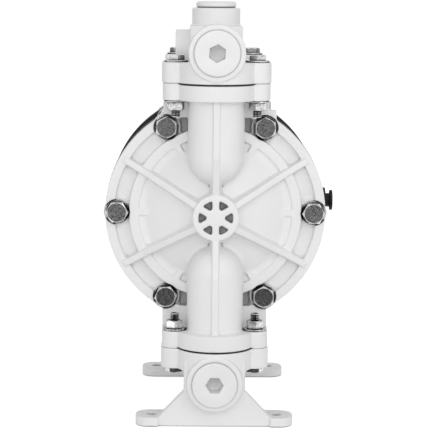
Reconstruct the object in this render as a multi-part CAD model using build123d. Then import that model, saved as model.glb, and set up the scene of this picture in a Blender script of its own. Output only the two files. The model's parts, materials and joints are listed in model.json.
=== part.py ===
from build123d import *
import os
from math import cos, radians, sin, sqrt, tan

os.makedirs("parts", exist_ok=True)

# Air operated double diaphragm pump, seen along its diaphragm axis.
# X is to the right, Y runs along the diaphragm axis away from the front cover, Z is up.
# The origin is on the floor, in the middle of the four foot holes. Millimetres.

# Main axes and planes
suction_barrel_height = 29.3  # suction barrel above the floor
seam_gap = 13.4             # cover's edge to each seam between cover and manifold
barrel_gap = 19.6           # seam to each manifold barrel
flange_line = 62.0          # mid-plane out to the valve channels and the flange bolts
joint_out = 37.0            # mid-plane out to the joint of cover and air chamber

# Fluid covers
cover_setback = 0.2         # cover's edge inside the air chamber's edge
rim_thickness = 9.0
rim_width = 6.1
groove_floor_thickness = 4.6
pocket_floor_thickness = 2.2  # beside the channels, between ring, boss and shoulder wall
ring_inset = 7.7            # bolt circle in to the ring's outer side
ring_width = 6.2
ring_height = 10.5          # above the joint plane
dome_edge_height = 5.0      # above the joint plane, at the inner ring
dome_height = 24.0          # above the joint plane, in the middle
dome_wall = 4.0
cavity_edge_height = 2.4
hub_radius = 14.7
hub_inner_radius = 11.0
hub_boss_radius = 5.9
hub_height = 37.4           # above the joint plane
hub_pocket_depth = 8.5
rib_width = 4.0             # at its top
rib_draft = 7.0             # degrees, on each side of a rib
rib_hub_drop = 2.2          # diagonal ribs leave the hub this far below its face
rib_ring_height = 14.0      # above the joint plane, where the ribs cross the inner ring
rib_rim_height = 10.0       # above the joint plane, where the ribs end on the rim
stub_width = 4.0
stub_reach = 8.0
channel_radius = 18.0
channel_bore = 15.0
channel_round_centre = 38.0  # diaphragm axis to the centre of a channel's round end
channel_rib_height = 2.0
shoulder_drop = 10.0        # cover's edge in to the foot of the shoulder wall
tab_reach = 4.9             # small tab beside the right end of the shoulder wall
tab_drop = 4.9              # cover's edge in to the tab's upper edge
diagonal_rib_angles = (30, 150, 210, 330)
stub_angles = (0, 60, 120, 180, 240, 300)
joined_overlap = 0.5        # how far one form runs into the next

# Flanges of covers and manifolds
flange_bolt_spacing = 51.8  # between the two bolts of a flange
flange_disc_radius = 25.0
cover_ear_radius = 8.2
manifold_ear_radius = 8.7
cover_ear_thickness = 10.9
manifold_ear_thickness = 13.2
flange_back = 14.0          # how far a manifold flange runs behind its bolt line
gasket_thickness = 0.8
gasket_inner_radius = 17.6
gasket_clearance = 0.2

# Manifolds
column_radius = 17.5
barrel_radius = 15.3
barrel_bore = 11.0
end_boss_radius = 17.8
end_boss_out = 88.0         # mid-plane out to the plugs' seats
tee_half_width = 17.2
tee_half_length = 24.0
top_collar_radius = 16.0
top_collar_height = 11.5
top_bore = 10.3
side_port_radius = 12.3
side_port_bore = 9.3
discharge_port_reach = 26.8
suction_port_reach = 22.0

# Feet
foot_spacing_x = 80.0
foot_spacing_y = 140.0
foot_margin_x = 10.5
foot_depth = 23.0
foot_thickness = 6.0
foot_corner = 9.0
foot_hole = 3.3
web_thickness = 8.0
web_setback = 2.2           # behind the front edge of the foot pads
web_half_width = 19.6
web_slope_top = 22.7        # above the floor
web_slope_foot = 35.6       # half-width where the slope meets the foot

# Plugs
plug_head_radius = 14.3
plug_head_height = 2.6
plug_shank_length = 10.5
plug_socket = 10.0          # across flats
plug_socket_depth = 9.5
plug_edge = 0.8
discharge_plug_turn = 25.0
suction_plug_turn = 0.0
plug_seal_radius = 13.4
plug_seal_thickness = 1.0
plug_seal_clearance = 0.1
top_plug_radius = 13.4
top_plug_height = 4.2
top_plug_edge = 1.8
top_plug_shank = 9.0
thread_clearance = 0.05

# Valve seats, cages and balls
seat_radius = 16.8
seat_bore = 8.5
seat_height = 6.0
seat_clearance = 0.1
ball_radius = 11.0
ball_lift = 5.0
ball_gap = 0.03
cage_gap = 0.3
cage_base_height = 2.5
cage_rib_width = 3.0
cage_bar_height = 2.6
cage_fit = 0.1

# Air chambers, diaphragms and shaft
chamber_radius = 71.7
chamber_flange_thickness = 11.0
chamber_lip = 2.0           # flange edge in front of its groove
chamber_groove_width = 1.0
chamber_groove_depth = 0.8
chamber_back_radius = 46.0
chamber_floor_radius = 40.0
chamber_floor_thickness = 6.0
centre_half_length = 17.0
centre_radius = 44.0
bead_inset = 8.7            # bolt circle in to the clamped edge of a diaphragm
bead_width = 6.0
bead_clearance = 0.1
diaphragm_thickness = 3.0
diaphragm_flat_radius = 30.5
diaphragm_arch = 4.0
shaft_radius = 8.0
shaft_clearance = 0.05
shaft_hole_clearance = 0.6
stroke = 7.0                # each way from the middle
plate_floor_gap = 1.0       # between an inner plate and the chamber's floor at the end of a stroke
plate_radius = 28.0
outer_plate_thickness = 4.5
outer_boss_radius = 9.0
outer_boss_height = 4.0
plate_edge = 1.4
stud_radius = 5.0
stud_length = 13.0
bush_radius = 10.5
bush_length = 13.0
seal_radius = 11.0
seal_width = 3.0
pilot_offset = 24.0
pilot_radius = 3.0
pilot_clearance = 0.06
pilot_travel = 4.0          # each way from the middle
pilot_tip_gap = 0.3         # between a plate and the rod's tip at the end of a stroke
chamber_screw_circle = 34.0
chamber_screw_radius = 2.5
chamber_screw_head_radius = 4.0
chamber_screw_head_height = 3.0
chamber_screw_length = 17.0
chamber_screw_socket = 3.0

# Air valve on the left side
valve_face = 45.0           # mid-plane of the pump to the pad on the centre body
valve_gasket_thickness = 1.0
valve_depth = 20.0
valve_width = 30.0
valve_height = 44.0
valve_cap_thickness = 5.0
valve_edge = 2.0
valve_pad_root = 31.0       # mid-plane to where the pad starts in the centre body
sleeve_radius = 7.0
spool_radius = 5.0
spool_clearance = 0.04
spool_travel = 8.0
spool_end_gap = 0.1
spool_waist = 3.2
spool_land = 5.0
spool_lands = 4
sleeve_port_radius = 1.7
sleeve_port_pitch = 8.8
inlet_boss_radius = 9.5
inlet_boss_height = 4.0
inlet_bore = 5.8
inlet_depth = 7.0
valve_screw_radius = 2.5
valve_screw_head_radius = 4.2
valve_screw_head_height = 3.0
valve_screw_socket = 4.0
valve_screw_grip = 12.0     # into the centre body
valve_screw_spacing_y = 22.0
valve_screw_spacing_z = 22.0
cap_screw_radius = 2.0
cap_screw_head_radius = 3.4
cap_screw_head_height = 2.4
cap_screw_socket = 3.0
cap_screw_grip = 7.0        # into the valve body
cap_screw_spacing_x = 12.6
cap_screw_spacing_y = 22.0

# Exhaust on the right side
exhaust_rise = 3.0          # above the diaphragm axis
exhaust_stand = 2.7         # past the air chamber's edge
exhaust_root = 35.0         # mid-plane to the foot of the boss
exhaust_root_radius = 13.0
exhaust_tip_radius = 8.4
exhaust_bore = 5.2
exhaust_depth = 30.0
silencer_neck_radius = 4.6
silencer_neck_length = 3.1
silencer_disc_radius = 6.8
silencer_disc_thickness = 1.8
silencer_shank_length = 10.0

# Cover bolts
bolt_inset = 8.0            # air chamber's edge in to the bolt circle
cover_bolt_count = 6
cover_bolt_radius = 4.0
cover_bolt_flats = 13.0
cover_bolt_head = 5.3
cover_bolt_stand = 2.8      # thread past the nut
cover_bolt_turns = (0, 30, 28, 0, 7, 30)
cover_hole_clearance = 0.3
cover_boss_radius = 9.0
cover_boss_height = 6.5     # above the joint plane
cover_seat_radius = 8.3     # faced round each hole for its washer
cover_boss_neck = 13.0
cover_washer_radius = 8.0
cover_washer_thickness = 1.6
cover_nut_thickness = 6.5

# Flange bolts
flange_bolt_radius = 3.0
flange_bolt_flats = 10.0
flange_bolt_head = 3.4
flange_bolt_stand = 4.4     # thread past the nut
flange_hole_clearance = 0.3
flange_washer_radius = 7.8
flange_washer_thickness = 1.2
flange_nut_thickness = 5.2
front_head_turns = (-17, 22)
rear_head_turns = (0, 0)
discharge_nut_turns = (-10, -17)
suction_nut_turns = (30, 36)
head_chamfer = 0.7

# Worked out from the sizes above
cover_radius = chamber_radius - cover_setback
bolt_circle = chamber_radius - bolt_inset
rim_inner_radius = cover_radius - rim_width
ring_outer_radius = bolt_circle - ring_inset
ring_inner_radius = ring_outer_radius - ring_width
bead_radius = bolt_circle - bead_inset
cavity_radius = bead_radius - bead_width
shoulder_start = cover_radius - shoulder_drop
tab_top = cover_radius - tab_drop
seam_rise = cover_radius + seam_gap
barrel_rise = seam_rise + barrel_gap
axis_height = suction_barrel_height + barrel_rise
rim_out = joint_out + rim_thickness
boss_out = joint_out + cover_boss_height
dome_out = joint_out + dome_height
hub_out = joint_out + hub_height
exhaust_reach = chamber_radius + exhaust_stand
cover_ear_half = flange_bolt_spacing / 2 + cover_ear_radius
flange_bolts_x = (-flange_bolt_spacing / 2, flange_bolt_spacing / 2)
half_bead = diaphragm_thickness / 2
chamber_floor_out = centre_half_length + chamber_floor_thickness
plate_out = chamber_floor_out + plate_floor_gap + stroke
inner_plate_thickness = joint_out - half_bead - plate_out
pilot_reach = plate_floor_gap - pilot_tip_gap + pilot_travel
shaft_hole = shaft_radius + shaft_hole_clearance
valve_side = valve_face + valve_gasket_thickness
valve_x = -(valve_side + valve_depth / 2)
bolt_angles = [i * 360 / cover_bolt_count for i in range(cover_bolt_count)]

# Front and rear working frames: local Z points out of the pump along the diaphragm axis
front = Plane((0, 0, axis_height), x_dir=(1, 0, 0), z_dir=(0, -1, 0)).location
rear = Plane((0, 0, axis_height), x_dir=(-1, 0, 0), z_dir=(0, 1, 0)).location
base_up = (Align.CENTER, Align.CENTER, Align.MIN)


def disc(radius, low, high, x=0, y=0):
    """Round bar along Z, from low to high."""
    return Pos(x, y, low) * Cylinder(radius, high - low, align=base_up)


def upright(radius, low, high, x=0, z=0):
    """Round bar along local Y, from low to high."""
    return Pos(x, low, z) * Rot(-90, 0, 0) * Cylinder(radius, high - low, align=base_up)


def crosswise(radius, low, high, y=0, z=0):
    """Round bar along X, from low to high."""
    return Pos(low, y, z) * Rot(0, 90, 0) * Cylinder(radius, high - low, align=base_up)


def block(x, y, z):
    """Box between two limits on each axis."""
    centre = Pos((x[0] + x[1]) / 2, (y[0] + y[1]) / 2, (z[0] + z[1]) / 2)
    return centre * Box(x[1] - x[0], y[1] - y[0], z[1] - z[0])


def hexagon(flats, low, high, turn=0):
    """Hexagonal bar along Z."""
    return Pos(0, 0, low) * extrude(RegularPolygon(flats / sqrt(3), 6, rotation=turn), high - low)


def turned(points):
    """Solid turned about Z from a closed outline of radius and height."""
    return revolve(Plane.XZ * make_face(Polyline(*points, close=True)), Axis.Z)


def cap_arc(edge_radius, edge, top):
    """Spherical arc from the axis down to an edge."""
    ball = (edge_radius ** 2 + (top - edge) ** 2) / (2 * (top - edge))
    middle = edge_radius / 2
    drop = ball - sqrt(ball ** 2 - middle ** 2)
    return ThreePointArc((0, top), (middle, top - drop), (edge_radius, edge))


def domed(edge_radius, edge, top, base):
    """Turned solid with a domed front."""
    sides = Polyline((edge_radius, edge), (edge_radius, base), (0, base), (0, top))
    return revolve(Plane.XZ * make_face(sides + cap_arc(edge_radius, edge, top)), Axis.Z)


def flange_plan(ear, back):
    """Outline of a flange: a round middle, two ears and a straight back."""
    plan = Pos(0, flange_line) * Circle(flange_disc_radius)
    for x in flange_bolts_x:
        plan += Pos(x, flange_line) * Circle(ear)
    width = flange_bolt_spacing + 2 * ear
    plan += Pos(0, (flange_line + back) / 2) * Rectangle(width, flange_line - back)
    return plan


def flange(top, thickness, ear, back):
    """Flange plate below the local height top, with its two bolt holes."""
    level = Plane((0, top, 0), x_dir=(1, 0, 0), z_dir=(0, -1, 0))
    plate = extrude(level * flange_plan(ear, back), thickness)
    for x in flange_bolts_x:
        hole = flange_bolt_radius + flange_hole_clearance
        plate -= upright(hole, top - thickness - 1, top + 1, x, flange_line)
    return plate


def rib(stations, width, angle):
    """Drafted rib along one angle, through stations of reach, base and top."""
    sections = []
    for reach, base, top in stations:
        half_top = width / 2
        half_base = half_top + (top - base) * tan(radians(rib_draft))
        corners = [(-half_base, base), (half_base, base), (half_top, top), (-half_top, top)]
        section = Plane((reach, 0, 0), x_dir=(0, 1, 0), z_dir=(1, 0, 0))
        sections.append(section * make_face(Polyline(*corners, close=True)))
    return Rot(0, 0, angle) * loft(sections, ruled=True)


def mirrored_down(shape):
    """The same shape on the lower side of the diaphragm axis."""
    return mirror(shape, Plane.XZ)


def cover_channel():
    """Upper valve channel of a cover, with its flange and shoulder wall."""
    start = channel_round_centre
    solid = upright(channel_radius, start, seam_rise, 0, flange_line)
    solid += Pos(0, start, flange_line) * Sphere(channel_radius)
    solid += disc(channel_radius, joint_out, flange_line, 0, start)
    side = (-channel_radius, channel_radius)
    solid += block(side, (start, seam_rise), (joint_out, flange_line))
    wall = (-cover_ear_half, cover_ear_half)
    solid += block(wall, (shoulder_start, seam_rise), (joint_out, rim_out))
    front_line = flange_line + channel_radius + channel_rib_height
    rib_side = (-rib_width / 2, rib_width / 2)
    solid += block(rib_side, (start, seam_rise), (flange_line, front_line))
    return solid


def cover_hollows():
    """Space for the fluid in the upper channel, with the seat's and gasket's recesses."""
    start = channel_round_centre
    hollow = upright(channel_bore, start, seam_rise + 1, 0, flange_line)
    hollow += Pos(0, start, flange_line) * Sphere(channel_bore)
    hollow += upright(seat_radius, seam_rise - seat_height, seam_rise + 1, 0, flange_line)
    gasket_floor = seam_rise - gasket_thickness
    hollow += upright(flange_disc_radius, gasket_floor, seam_rise + 1, 0, flange_line)
    return hollow


def bolt_places():
    """Places of the cover bolts on their circle."""
    return [(bolt_circle * cos(radians(a)), bolt_circle * sin(radians(a))) for a in bolt_angles]


def channel_pocket(side):
    """Recess between ring, boss, shoulder wall and one side of the upper channel."""
    boss_side = bolt_circle * cos(radians(60)) - cover_boss_radius
    floor = joint_out + pocket_floor_thickness
    x = sorted((side * channel_radius, side * boss_side))
    recess = block(x, (ring_inner_radius, shoulder_start), (floor, rim_out))
    return recess - disc(ring_outer_radius, floor - 1, rim_out + 1)


def fluid_cover(tab_side):
    """Ribbed fluid cover in the local frame, with its tab on one side."""
    body = disc(cover_radius, joint_out, rim_out)
    wall = (-cover_ear_half, cover_ear_half)
    body += block(wall, (shoulder_start, seam_rise), (joint_out, rim_out))
    body += block(wall, (-seam_rise, -shoulder_start), (joint_out, rim_out))
    groove = disc(rim_inner_radius, joint_out + groove_floor_thickness, rim_out + 1)
    body -= groove - disc(ring_outer_radius, joint_out, rim_out + 2)
    ring = disc(ring_outer_radius, joint_out, joint_out + ring_height)
    body += ring - disc(ring_inner_radius, joint_out - 1, joint_out + ring_height + 1)
    edge = joint_out + dome_edge_height
    body += domed(ring_inner_radius + joined_overlap, edge, dome_out, joint_out)
    tab_ends = sorted((tab_side * (cover_ear_half - joined_overlap),
                       tab_side * (cover_ear_half + tab_reach)))
    body += block(tab_ends, (shoulder_start - tab_reach, tab_top), (joint_out, rim_out))
    for x, y in bolt_places():
        body += disc(cover_boss_radius, joint_out, boss_out, x, y)
    neck_x = ((ring_inner_radius + ring_outer_radius) / 2, bolt_circle)
    neck_y = (-cover_boss_neck / 2, cover_boss_neck / 2)
    for angle in bolt_angles:
        body += Rot(0, 0, angle) * block(neck_x, neck_y, (joint_out, boss_out))
    channel = cover_channel()
    body += channel
    body += mirrored_down(channel)
    thickness = cover_ear_thickness
    body += flange(seam_rise, thickness, cover_ear_radius, joint_out)
    body += flange(-seam_rise + thickness, thickness, cover_ear_radius, joint_out)
    body += disc(hub_radius, joint_out, hub_out)
    body -= disc(hub_inner_radius, hub_out - hub_pocket_depth, hub_out + 1)
    body += disc(hub_boss_radius, joint_out, hub_out)
    ring_middle = (ring_inner_radius + ring_outer_radius) / 2
    rim_middle = (rim_inner_radius + cover_radius) / 2
    shell = dome_out - dome_wall / 2
    root = joint_out + 1
    diagonal = [(0, shell, hub_out), (hub_inner_radius + joined_overlap, shell, hub_out)]
    diagonal += [(hub_radius - joined_overlap, shell, hub_out - rib_hub_drop)]
    diagonal += [(ring_middle, root, joint_out + rib_ring_height)]
    diagonal += [(rim_middle, root, joint_out + rib_rim_height)]
    for angle in diagonal_rib_angles:
        body += rib(diagonal, rib_width, angle)
    channel_top = flange_line + channel_radius + channel_rib_height
    upright_rib = [(0, shell, hub_out), (hub_radius, shell, hub_out)]
    upright_rib += [(channel_round_centre, flange_line, channel_top)]
    for angle in (90, 270):
        body += rib(upright_rib, rib_width, angle)
    stub_in = ring_inner_radius - stub_reach
    stub = [(stub_in, root, joint_out + ring_height), (ring_middle, root, joint_out + ring_height)]
    for angle in stub_angles:
        body += rib(stub, stub_width, angle)
    for side in (1, -1):
        pocket = channel_pocket(side)
        body -= pocket
        body -= mirrored_down(pocket)
    hollow = cover_hollows()
    body -= hollow
    body -= mirrored_down(hollow)
    inner_top = dome_out - dome_wall
    body -= domed(cavity_radius, joint_out + cavity_edge_height, inner_top, joint_out - 1)
    body -= disc(bead_radius, joint_out - 1, joint_out + half_bead)
    for x, y in bolt_places():
        hole = cover_bolt_radius + cover_hole_clearance
        body -= disc(hole, joint_out - 1, rim_out + 1, x, y)
        body -= disc(cover_seat_radius, boss_out, dome_out, x, y)
    return body


def air_chamber():
    """Dished air chamber in the local frame."""
    flange_back_out = joint_out - chamber_flange_thickness
    outside = [(0, centre_half_length), (chamber_back_radius, centre_half_length)]
    outside += [(bead_radius, flange_back_out), (chamber_radius, flange_back_out)]
    groove_front = joint_out - chamber_lip
    groove_back = groove_front - chamber_groove_width
    groove_floor = chamber_radius - chamber_groove_depth
    outside += [(chamber_radius, groove_back), (groove_floor, groove_back)]
    outside += [(groove_floor, groove_front), (chamber_radius, groove_front)]
    outside += [(chamber_radius, joint_out), (0, joint_out)]
    inside = [(0, chamber_floor_out), (chamber_floor_radius, chamber_floor_out)]
    inside += [(cavity_radius, joint_out - half_bead), (bead_radius, joint_out - half_bead)]
    inside += [(bead_radius, joint_out + 1), (0, joint_out + 1)]
    body = turned(outside) - turned(inside)
    body -= disc(shaft_hole, centre_half_length - 1, chamber_floor_out + 1)
    seal_low = (centre_half_length + chamber_floor_out - seal_width) / 2
    body -= disc(seal_radius, seal_low, seal_low + seal_width)
    pilot_hole = pilot_radius + pilot_clearance
    body -= disc(pilot_hole, centre_half_length - 1, chamber_floor_out + 1, 0, pilot_offset)
    for x, y in chamber_screw_places():
        hole = chamber_screw_radius + thread_clearance
        body -= disc(hole, centre_half_length - 1, chamber_floor_out + 1, x, y)
    for x, y in bolt_places():
        hole = cover_bolt_radius + cover_hole_clearance
        body -= disc(hole, flange_back_out - 1, joint_out + 1, x, y)
    return body


def chamber_screw_places():
    """Four places at 45 degrees."""
    reach = chamber_screw_circle * cos(radians(45))
    return [(reach, reach), (-reach, reach), (-reach, -reach), (reach, -reach)]


def chamber_screw():
    """Pan head screw, with its head on the local plane and its shank below."""
    head = disc(chamber_screw_head_radius, 0, chamber_screw_head_height)
    head -= hexagon(chamber_screw_socket, chamber_screw_head_height / 2, chamber_screw_head_height + 1)
    return head + disc(chamber_screw_radius, -chamber_screw_length, 0)


def centre_body():
    """Centre section between the air chambers, in the world frame."""
    barrel = disc(centre_radius, -centre_half_length, centre_half_length)
    barrel -= disc(shaft_hole, -centre_half_length - 1, centre_half_length + 1)
    bush_low = centre_half_length - bush_length
    barrel -= disc(bush_radius, bush_low, centre_half_length + 1)
    barrel -= disc(bush_radius, -centre_half_length - 1, -bush_low)
    barrel -= disc(pilot_radius + pilot_clearance, -centre_half_length - 1,
                   centre_half_length + 1, 0, pilot_offset)
    hole = chamber_screw_radius + thread_clearance
    depth = chamber_screw_length - chamber_floor_thickness + 1
    for x, y in chamber_screw_places():
        barrel -= disc(hole, centre_half_length - depth, centre_half_length + 1, x, y)
        barrel -= disc(hole, -centre_half_length - 1, -centre_half_length + depth, x, y)
    body = front * barrel
    pad_y = (-valve_width / 2, valve_width / 2)
    pad_z = (axis_height - valve_height / 2, axis_height + valve_height / 2)
    body += block((-valve_face, -valve_pad_root), pad_y, pad_z)
    for y, z in valve_screw_places():
        hole = valve_screw_radius + thread_clearance
        body -= crosswise(hole, -valve_face - 1, -valve_face + valve_screw_grip + 1, y, z)
    exhaust_z = axis_height + exhaust_rise
    length = exhaust_reach - exhaust_root
    cone = turned([(0, 0), (exhaust_root_radius, 0), (exhaust_tip_radius, length), (0, length)])
    body += Pos(exhaust_root, 0, exhaust_z) * Rot(0, 90, 0) * cone
    body -= crosswise(exhaust_bore, exhaust_reach - exhaust_depth, exhaust_reach + 1, 0, exhaust_z)
    return body


def valve_screw_places():
    """Places of the screws that hold the air valve on the centre section."""
    half_y = valve_screw_spacing_y / 2
    half_z = valve_screw_spacing_z / 2
    return [(y, axis_height + z) for y in (-half_y, half_y) for z in (-half_z, half_z)]


def cap_screw_places():
    """Places of the screws in an air valve cap."""
    half_x = cap_screw_spacing_x / 2
    half_y = cap_screw_spacing_y / 2
    return [(valve_x + x, y) for x in (-half_x, half_x) for y in (-half_y, half_y)]


def valve_body():
    """Air valve block with its spool bore and the air inlet."""
    low = axis_height - valve_height / 2
    high = axis_height + valve_height / 2
    outer = -(valve_side + valve_depth)
    half = valve_width / 2
    body = block((outer, -valve_side), (-half, half), (low, high))
    body = fillet(body.edges().filter_by(Axis.Z).group_by(Axis.X)[0], valve_edge)
    body += crosswise(inlet_boss_radius, outer - inlet_boss_height, outer + 1, 0, axis_height)
    body -= crosswise(inlet_bore, outer - inlet_boss_height - 1,
                      outer - inlet_boss_height + inlet_depth, 0, axis_height)
    body -= disc(sleeve_radius, low - 1, high + 1, valve_x, 0)
    for y, z in valve_screw_places():
        body -= crosswise(valve_screw_radius + thread_clearance, outer - 1, 0, y, z)
    for x, y in cap_screw_places():
        hole = cap_screw_radius + thread_clearance
        body -= disc(hole, low - 1, low + cap_screw_grip + 1, x, y)
        body -= disc(hole, high - cap_screw_grip - 1, high + 1, x, y)
    return body


def valve_gasket():
    """Flat gasket between the air valve and the centre section."""
    half = valve_width / 2
    low = axis_height - valve_height / 2
    high = axis_height + valve_height / 2
    plate = block((-valve_side, -valve_face), (-half, half), (low, high))
    for y, z in valve_screw_places():
        plate -= crosswise(valve_screw_radius + thread_clearance, -valve_side - 1, 0, y, z)
    return plate


def valve_sleeve():
    """Bored sleeve for the spool, with ports through its wall."""
    low = axis_height - valve_height / 2
    high = axis_height + valve_height / 2
    tube = disc(sleeve_radius, low, high, valve_x, 0)
    tube -= disc(spool_radius + spool_clearance, low - 1, high + 1, valve_x, 0)
    for level in (-sleeve_port_pitch, 0, sleeve_port_pitch):
        port = crosswise(sleeve_port_radius, -sleeve_radius - 1, sleeve_radius + 1)
        tube -= Pos(valve_x, 0, axis_height + level) * port
    return tube


def valve_spool():
    """Spool with its lands, standing on the lower cap."""
    low = axis_height - valve_height / 2 + spool_end_gap
    length = valve_height - spool_travel - 2 * spool_end_gap
    spool = disc(spool_waist, low, low + length, valve_x, 0)
    for i in range(spool_lands):
        start = low + i * (length - spool_land) / (spool_lands - 1)
        spool += disc(spool_radius, start, start + spool_land, valve_x, 0)
    return spool


def valve_cap(low, high):
    """End cap of the air valve."""
    outer = -(valve_side + valve_depth)
    half = valve_width / 2
    plate = block((outer, -valve_side), (-half, half), (low, high))
    plate = fillet(plate.edges().filter_by(Axis.Z), valve_edge)
    for x, y in cap_screw_places():
        plate -= disc(cap_screw_radius + thread_clearance, low - 1, high + 1, x, y)
    return plate


def socket_screw(radius, length, head_radius, head_height, socket):
    """Socket screw along Z, with its head above the plane and its shank below."""
    screw = disc(head_radius, 0, head_height) + disc(radius, -length, 0)
    return screw - hexagon(socket, head_height / 2, head_height + 1)


def silencer():
    """Small exhaust silencer: threaded shank, neck and disc."""
    neck_end = exhaust_reach + silencer_neck_length
    z = axis_height + exhaust_rise
    shank_start = exhaust_reach - silencer_shank_length
    body = crosswise(exhaust_bore - thread_clearance, shank_start, exhaust_reach, 0, z)
    body += crosswise(silencer_neck_radius, exhaust_reach, neck_end, 0, z)
    tip = neck_end + silencer_disc_thickness
    body += crosswise(silencer_disc_radius, neck_end, tip, 0, z)
    bore = silencer_neck_radius / 2
    body -= crosswise(bore, shank_start - 1, neck_end, 0, z)
    return body


def manifold_end(sign):
    """One end of a manifold in the local frame, above (+1) or below (-1) the axis."""
    lift = sign * barrel_rise
    seam = sign * seam_rise
    low = min(seam, lift)
    high = max(seam, lift)
    top = seam + manifold_ear_thickness if sign > 0 else seam
    body = flange(top, manifold_ear_thickness, manifold_ear_radius, flange_line - flange_back)
    body += upright(column_radius, low, high, 0, flange_line)
    body += Pos(0, lift, 0) * disc(end_boss_radius, flange_line, end_boss_out)
    body += Pos(0, lift, 0) * disc(barrel_radius, 0, flange_line + column_radius - 1)
    return body


def manifold_hollow(sign):
    """Fluid space of one manifold end, with the plug's thread and seal recess."""
    lift = sign * barrel_rise
    low = min(sign * (seam_rise - 1), lift)
    high = max(sign * (seam_rise - 1), lift)
    hollow = upright(channel_bore, low, high, 0, flange_line)
    if sign > 0:
        hollow += upright(channel_bore, high - 1, high + cage_top_rise(), 0, flange_line)
    hollow += Pos(0, lift, 0) * disc(barrel_bore, -1, end_boss_out + 1)
    recess = end_boss_out - plug_seal_thickness
    seal_hole = plug_seal_radius + plug_seal_clearance
    hollow += Pos(0, lift, 0) * disc(seal_hole, recess, end_boss_out + 1)
    return hollow


def cage_height():
    """Height of a ball cage above its seat."""
    return ball_centre_height() + ball_radius + ball_lift + 2 * cage_gap + cage_bar_height


def cage_top_rise():
    """How far the discharge cage reaches above the barrel's axis, with room to spare."""
    return seam_rise + cage_height() - barrel_rise + cage_fit


def ball_centre_height():
    """Height of a ball's centre above its seat when it is closed."""
    return sqrt(ball_radius ** 2 - seat_bore ** 2) + ball_gap


def discharge_manifold():
    """Upper manifold with its end plugs' bosses, the side port and the top port."""
    solid = front * manifold_end(1) + rear * manifold_end(1)
    z = axis_height + barrel_rise
    half = tee_half_width
    rise = barrel_radius
    length = tee_half_length
    solid += block((-half, half), (-length, length), (z - rise, z + rise))
    solid += disc(top_collar_radius, z, z + rise + top_collar_height)
    solid += crosswise(side_port_radius, -discharge_port_reach, 0, 0, z)
    solid -= front * manifold_hollow(1)
    solid -= rear * manifold_hollow(1)
    solid -= disc(top_bore, z, z + rise + top_collar_height + 1)
    solid -= crosswise(side_port_bore, -discharge_port_reach - 1, 0, 0, z)
    return solid


def foot():
    """Foot plate and web of one end, in the local frame."""
    floor = -axis_height
    middle = foot_spacing_y / 2
    half = foot_spacing_x / 2 + foot_margin_x
    low = middle - foot_depth / 2
    high = middle + foot_depth / 2
    plate = block((-half, half), (floor, floor + foot_thickness), (low, high))
    plate = fillet(plate.edges().filter_by(Axis.Y), foot_corner)
    web_front = high - web_setback
    level = (floor, floor + foot_thickness)
    plate -= block((-web_slope_foot, web_slope_foot), level, (web_front, high))
    top = -seam_rise - manifold_ear_thickness / 2
    slope = floor + web_slope_top
    rest = floor + foot_thickness
    outline = [(-web_slope_foot, rest), (-web_slope_foot, floor), (web_slope_foot, floor)]
    outline += [(web_slope_foot, rest), (web_half_width, slope), (web_half_width, top)]
    outline += [(-web_half_width, top), (-web_half_width, slope)]
    web = extrude(make_face(Polyline(*outline, close=True)), web_thickness)
    plate += Pos(0, 0, web_front - web_thickness) * web
    for x in (-foot_spacing_x / 2, foot_spacing_x / 2):
        plate -= upright(foot_hole, floor - 1, floor + foot_thickness + 1, x, middle)
    return plate


def suction_manifold():
    """Lower manifold with its feet, end plugs' bosses and the side port."""
    solid = front * (manifold_end(-1) + foot()) + rear * (manifold_end(-1) + foot())
    z = axis_height - barrel_rise
    half = tee_half_width
    length = tee_half_length
    solid += block((-half, half), (-length, length), (z - barrel_radius, z + barrel_radius))
    solid += crosswise(side_port_radius, -suction_port_reach, 0, 0, z)
    solid -= front * manifold_hollow(-1)
    solid -= rear * manifold_hollow(-1)
    solid -= crosswise(side_port_bore, -suction_port_reach - 1, 0, 0, z)
    return solid


def end_plug(lift, turn):
    """Plug of a manifold end in the local frame, with a hexagon socket."""
    head_out = end_boss_out + plug_head_height
    plug = disc(plug_head_radius, end_boss_out, head_out)
    plug = fillet(plug.edges().group_by(Axis.Z)[-1], plug_edge)
    plug += disc(barrel_bore - thread_clearance, end_boss_out - plug_shank_length, end_boss_out)
    plug -= hexagon(plug_socket, head_out - plug_socket_depth, head_out + 1, turn)
    return Pos(0, lift, 0) * plug


def plug_seal(lift):
    """Flat seal under the head of an end plug."""
    low = end_boss_out - plug_seal_thickness
    seal = disc(plug_seal_radius, low, end_boss_out) - disc(barrel_bore, low - 1, end_boss_out + 1)
    return Pos(0, lift, 0) * seal


def top_plug():
    """Plug in the top port, with a rounded head."""
    seat = axis_height + barrel_rise + barrel_radius + top_collar_height
    head = disc(top_plug_radius, seat, seat + top_plug_height)
    head = fillet(head.edges().filter_by(GeomType.CIRCLE), top_plug_edge)
    return head + disc(top_bore - thread_clearance, seat - top_plug_shank, seat + 1)


def gasket(seam):
    """Round gasket in the seam of one channel, in the local frame."""
    low = seam - gasket_thickness if seam > 0 else seam
    outer = flange_disc_radius - gasket_clearance
    ring = upright(outer, low, low + gasket_thickness, 0, flange_line)
    ring -= upright(gasket_inner_radius, low - 1, low + gasket_thickness + 1, 0, flange_line)
    for x in flange_bolts_x:
        hole = flange_bolt_radius + flange_hole_clearance
        ring -= upright(hole, low - 1, low + gasket_thickness + 1, x, flange_line)
    return ring


def ball_seat(low):
    """Valve seat with a sharp upper edge, in the local frame."""
    high = low + seat_height
    ring = upright(seat_radius - seat_clearance, low, high, 0, flange_line)
    return ring - upright(seat_bore, low - 1, high + 1, 0, flange_line)


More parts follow.
